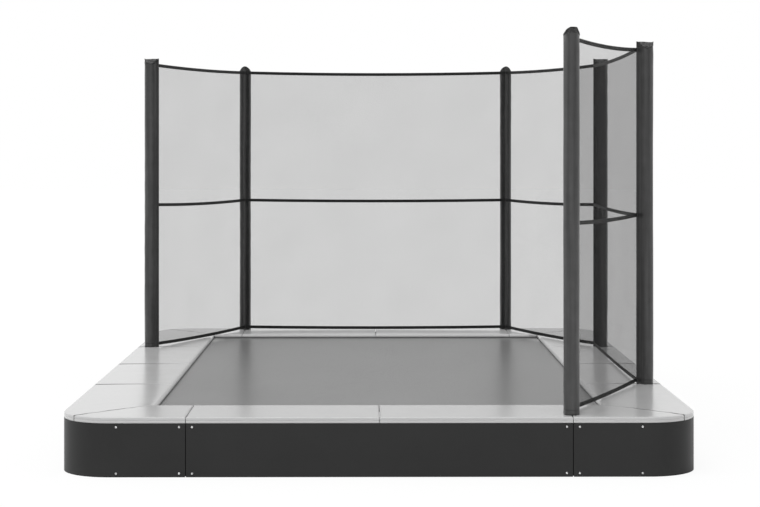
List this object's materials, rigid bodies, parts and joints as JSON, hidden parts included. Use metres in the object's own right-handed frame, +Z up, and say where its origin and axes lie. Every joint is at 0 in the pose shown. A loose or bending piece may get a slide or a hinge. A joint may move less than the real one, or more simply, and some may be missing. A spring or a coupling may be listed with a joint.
{
  "type": "trampoline",
  "caption": "Low rectangular garden trampoline with a skirt, light padding round the mat and a padded-pole safety net on part of its edge.",
  "frame": {"origin": "on the ground under the centre of the frame", "axes": "+X across the width, to the right seen from the front; +Y along the length, away from the front; +Z up. The open corner of the net is at the front left."},
  "size_m": [3.1066, 4.3066, 2.164],
  "materials": {
    "galvanised_tube": "satin",
    "galvanised_plate": "satin",
    "zinc_fastener": "satin",
    "skirt_panel": "satin",
    "spring_steel": "satin",
    "ring_steel": "satin",
    "mat_weave": "satin",
    "mat_webbing": "matte",
    "pad_vinyl": "satin",
    "cap_plastic": "matte",
    "sleeve_foam": "matte",
    "sleeve_fabric": "matte",
    "pole_tube": "satin",
    "net_webbing": "matte",
    "net_mesh": "matte"
  },
  "bodies": {
    "frame": {"bracket_bolts": "zinc_fastener", "corner_brackets": "galvanised_plate", "leg_bases": "galvanised_tube", "leg_posts": "galvanised_tube", "net_back_left_corner": "net_mesh", "net_back_right_corner": "net_mesh", "net_back_side": "net_mesh", "net_band_bottom": "net_webbing", "net_band_middle": "net_webbing", "net_band_top": "net_webbing", "net_front_right_corner": "net_mesh", "net_right_side": "net_mesh", "pads_back": "pad_vinyl", "pads_back_left_corner": "pad_vinyl", "pads_back_right_corner": "pad_vinyl", "pads_front": "pad_vinyl", "pads_front_left_corner": "pad_vinyl", "pads_front_right_corner": "pad_vinyl", "pads_left": "pad_vinyl", "pads_right": "pad_vinyl", "pole_back_left": "pole_tube", "pole_back_right": "pole_tube", "pole_brackets": "galvanised_plate", "pole_caps": "cap_plastic", "pole_foam": "sleeve_foam", "pole_front_right": "pole_tube", "pole_left_back": "pole_tube", "pole_right_back": "pole_tube", "pole_right_front": "pole_tube", "pole_sleeves": "sleeve_fabric", "rail_back": "galvanised_tube", "rail_corner_back_left": "galvanised_tube", "rail_corner_back_right": "galvanised_tube", "rail_corner_front_left": "galvanised_tube", "rail_corner_front_right": "galvanised_tube", "rail_front": "galvanised_tube", "rail_left": "galvanised_tube", "rail_right": "galvanised_tube", "skirt_back": "skirt_panel", "skirt_bolts": "zinc_fastener", "skirt_corner_back_left": "skirt_panel", "skirt_corner_back_right": "skirt_panel", "skirt_corner_front_left": "skirt_panel", "skirt_corner_front_right": "skirt_panel", "skirt_front": "skirt_panel", "skirt_left": "skirt_panel", "skirt_nuts": "zinc_fastener", "skirt_right": "skirt_panel", "springs_back": "spring_steel", "springs_front": "spring_steel", "springs_left": "spring_steel", "springs_right": "spring_steel"},
    "mat": {"jumping_mat": "mat_weave", "mat_hem": "mat_webbing", "mat_rings": "ring_steel"}
  },
  "joints": [
    {"name": "mat_bounce", "type": "slide", "parent": "frame", "child": "mat", "axis": [0, 0, 1], "range_m": [-0.12, 0], "stiffness_N_per_m": 8000, "springref_m": 0.02, "deforming": ["springs_back", "springs_front", "springs_left", "springs_right"]}
  ]
}
